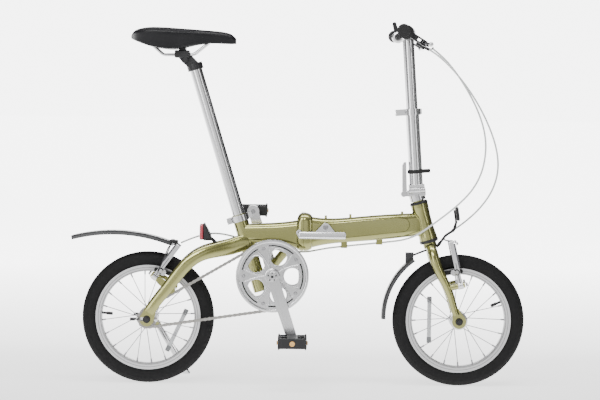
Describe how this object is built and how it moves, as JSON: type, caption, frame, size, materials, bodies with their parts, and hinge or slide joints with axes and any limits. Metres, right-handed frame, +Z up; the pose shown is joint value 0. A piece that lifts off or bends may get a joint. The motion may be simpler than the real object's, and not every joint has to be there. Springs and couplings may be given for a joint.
{
  "type": "folding bicycle",
  "caption": "Small-wheeled folding bicycle with a hinged main beam, folding telescopic handlepost, quick-release seatpost, chain drive, rim brakes and kickstand.",
  "frame": {"origin": "on the floor under the middle of the bicycle's box", "axes": "+X forward, +Z up, the drive side on -Y"},
  "size_m": [1.149, 0.5036, 0.917],
  "materials": {
    "frame_paint": "champagne gold metallic, glossy",
    "tyre_rubber": "matte black rubber",
    "satin_alloy": "satin silver",
    "bright_alloy": "bright polished",
    "steel": "plain steel",
    "black_steel": "black satin",
    "black_plastic": "moulded matte black",
    "grip_rubber": "soft matte",
    "saddle_cover": "black synthetic cover over foam",
    "cable_housing": "silver plastic sheath",
    "red_lens": "clear red moulded lens"
  },
  "bodies": {
    "rear_frame": {"seat_tube": "frame_paint", "rear_beam": "frame_paint", "rear_hinge_half": "frame_paint", "bottom_bracket": "frame_paint", "frame_braces": "frame_paint", "rear_stays": "frame_paint", "rear_axle": "black_steel", "seat_collar": "bright_alloy", "rear_fender": "black_plastic", "rear_brackets": "black_steel", "rear_reflector": "red_lens", "chain": "steel", "rear_brake_cable": "cable_housing"},
    "rear_wheel": {"rear_tyre": "tyre_rubber", "rear_rim": "satin_alloy", "rear_spokes": "steel", "rear_hub": "bright_alloy", "rear_wheel_fittings": "black_plastic"},
    "freewheel": {"freewheel": "steel"},
    "crankset": {"spindles": "steel", "right_crank": "satin_alloy", "left_crank": "satin_alloy", "chainring": "satin_alloy"},
    "right_pedal": {"right_pedal": "black_plastic"},
    "left_pedal": {"left_pedal": "black_plastic"},
    "seatpost": {"seatpost": "bright_alloy", "saddle": "saddle_cover", "saddle_mount": "bright_alloy"},
    "seat_lever": {"seat_lever": "bright_alloy"},
    "kickstand": {"kickstand": "satin_alloy"},
    "rear_brake_arm_left": {"rear_brake_arm_left": "bright_alloy"},
    "rear_brake_arm_right": {"rear_brake_arm_right": "bright_alloy"},
    "front_frame": {"front_beam": "frame_paint", "front_hinge_half": "frame_paint", "head_tube": "frame_paint", "headset": "black_steel"},
    "main_latch": {"main_latch": "satin_alloy"},
    "fork": {"fork": "frame_paint", "front_axle": "black_steel", "front_fender": "black_plastic", "front_reflector": "black_plastic", "handlepost_base": "bright_alloy", "front_brake_cable": "cable_housing"},
    "front_wheel": {"front_tyre": "tyre_rubber", "front_rim": "satin_alloy", "front_spokes": "steel", "front_hub": "bright_alloy", "front_wheel_fittings": "black_plastic"},
    "front_brake_arm_left": {"front_brake_arm_left": "bright_alloy"},
    "front_brake_arm_right": {"front_brake_arm_right": "bright_alloy"},
    "handlepost_latch": {"handlepost_latch": "bright_alloy"},
    "handlepost": {"handlepost_lower": "bright_alloy"},
    "telescope_lever": {"telescope_lever": "bright_alloy"},
    "bars": {"handlepost_upper": "bright_alloy", "handlebar": "bright_alloy", "grips": "grip_rubber", "bar_fittings": "black_plastic"},
    "brake_lever_right": {"brake_lever_right": "bright_alloy"},
    "brake_lever_left": {"brake_lever_left": "bright_alloy"},
    "bell_lever": {"bell_lever": "black_plastic"}
  },
  "joints": [
    {"name": "rear_wheel_spin", "type": "hinge", "parent": "rear_frame", "child": "rear_wheel", "pos_m": [-0.379, 0, 0.167], "axis": [0, 1, 0], "continuous": true},
    {"name": "front_wheel_spin", "type": "hinge", "parent": "fork", "child": "front_wheel", "pos_m": [0.4075, 0, 0.167], "axis": [0, 1, 0], "continuous": true},
    {"name": "crank_spin", "type": "hinge", "parent": "rear_frame", "child": "crankset", "pos_m": [-0.0645, 0, 0.278], "axis": [0, 1, 0], "continuous": true, "deforming": ["chain"]},
    {"name": "freewheel_spin", "type": "hinge", "parent": "rear_frame", "child": "freewheel", "pos_m": [-0.379, -0.042, 0.167], "axis": [0, 1, 0], "continuous": true},
    {"name": "right_pedal_spin", "type": "hinge", "parent": "crankset", "child": "right_pedal", "pos_m": [-0.01242, -0.12, 0.12144], "axis": [0, 1, 0], "continuous": true},
    {"name": "left_pedal_spin", "type": "hinge", "parent": "crankset", "child": "left_pedal", "pos_m": [-0.11658, 0.12, 0.43456], "axis": [0, 1, 0], "continuous": true},
    {"name": "main_fold", "type": "hinge", "parent": "rear_frame", "child": "front_frame", "pos_m": [0.013, 0.037, 0.388], "axis": [0, 0, 1], "range_deg": [0, 120], "deforming": ["rear_brake_cable"]},
    {"name": "main_latch_turn", "type": "hinge", "parent": "front_frame", "child": "main_latch", "pos_m": [0.0685, -0.034, 0.402], "axis": [0, -1, 0], "range_deg": [0, 100]},
    {"name": "steering", "type": "hinge", "parent": "front_frame", "child": "fork", "pos_m": [0.31748, 0, 0.416], "axis": [-0.2706, 0, 0.9627], "range_deg": [-90, 90], "deforming": ["front_brake_cable"]},
    {"name": "handlepost_fold", "type": "hinge", "parent": "fork", "child": "handlepost", "pos_m": [0.29773, -0.027, 0.497], "axis": [0.9976, 0, 0.0687], "range_deg": [0, 140]},
    {"name": "handlepost_latch_turn", "type": "hinge", "parent": "fork", "child": "handlepost_latch", "pos_m": [0.26543, 0, 0.48575], "axis": [0, -1, 0], "range_deg": [0, 100]},
    {"name": "telescope_slide", "type": "slide", "parent": "handlepost", "child": "bars", "axis": [-0.0687, 0, 0.9976], "range_m": [-0.08, 0.02]},
    {"name": "telescope_lever_turn", "type": "hinge", "parent": "handlepost", "child": "telescope_lever", "pos_m": [0.24825, 0.017, 0.69153], "axis": [-0.0687, 0, 0.9976], "range_deg": [0, 140]},
    {"name": "brake_lever_right_pull", "type": "hinge", "parent": "bars", "child": "brake_lever_right", "pos_m": [0.30299, -0.104, 0.86662], "axis": [-0.5299, 0, -0.848], "range_deg": [0, 20], "stiffness_Nm_per_rad": 0.6},
    {"name": "brake_lever_left_pull", "type": "hinge", "parent": "bars", "child": "brake_lever_left", "pos_m": [0.30299, 0.104, 0.86662], "axis": [0.5299, 0, 0.848], "range_deg": [0, 20], "stiffness_Nm_per_rad": 0.6},
    {"name": "bell_lever_push", "type": "hinge", "parent": "bars", "child": "bell_lever", "pos_m": [0.2415, -0.079, 0.879], "axis": [0, 1, 0], "range_deg": [0, 25], "stiffness_Nm_per_rad": 0.05},
    {"name": "front_brake_left_close", "type": "hinge", "parent": "fork", "child": "front_brake_arm_left", "pos_m": [0.40993, 0.04, 0.25874], "axis": [0.9755, 0, 0.2198], "range_deg": [0, 2.2]},
    {"name": "front_brake_right_close", "type": "hinge", "parent": "fork", "child": "front_brake_arm_right", "pos_m": [0.40993, -0.04, 0.25874], "axis": [-0.9755, 0, -0.2198], "range_deg": [0, 2.2]},
    {"name": "rear_brake_left_close", "type": "hinge", "parent": "rear_frame", "child": "rear_brake_arm_left", "pos_m": [-0.3604, 0.04, 0.2733], "axis": [0.7997, 0, -0.6004], "range_deg": [0, 3.6]},
    {"name": "rear_brake_right_close", "type": "hinge", "parent": "rear_frame", "child": "rear_brake_arm_right", "pos_m": [-0.3604, -0.04, 0.2733], "axis": [-0.7997, 0, 0.6004], "range_deg": [0, 3.6]},
    {"name": "seatpost_slide", "type": "slide", "parent": "rear_frame", "child": "seatpost", "axis": [-0.2924, 0, 0.9563], "range_m": [-0.3, 0.02]},
    {"name": "seat_lever_turn", "type": "hinge", "parent": "rear_frame", "child": "seat_lever", "pos_m": [-0.1747, 0.017, 0.41261], "axis": [-0.2924, 0, 0.9563], "range_deg": [0, 140]},
    {"name": "kickstand_swing", "type": "hinge", "parent": "rear_frame", "child": "kickstand", "pos_m": [-0.361, 0.068, 0.141], "axis": [0, 1, 0], "range_deg": [0, 80]}
  ],
  "couplings": [
    {"joint": "freewheel_spin", "follows": "crank_spin", "ratio": 3.8182},
    {"joint": "front_brake_left_close", "follows": "brake_lever_left_pull", "ratio": 0.11},
    {"joint": "front_brake_right_close", "follows": "brake_lever_left_pull", "ratio": 0.11},
    {"joint": "rear_brake_left_close", "follows": "brake_lever_right_pull", "ratio": 0.18},
    {"joint": "rear_brake_right_close", "follows": "brake_lever_right_pull", "ratio": 0.18}
  ]
}
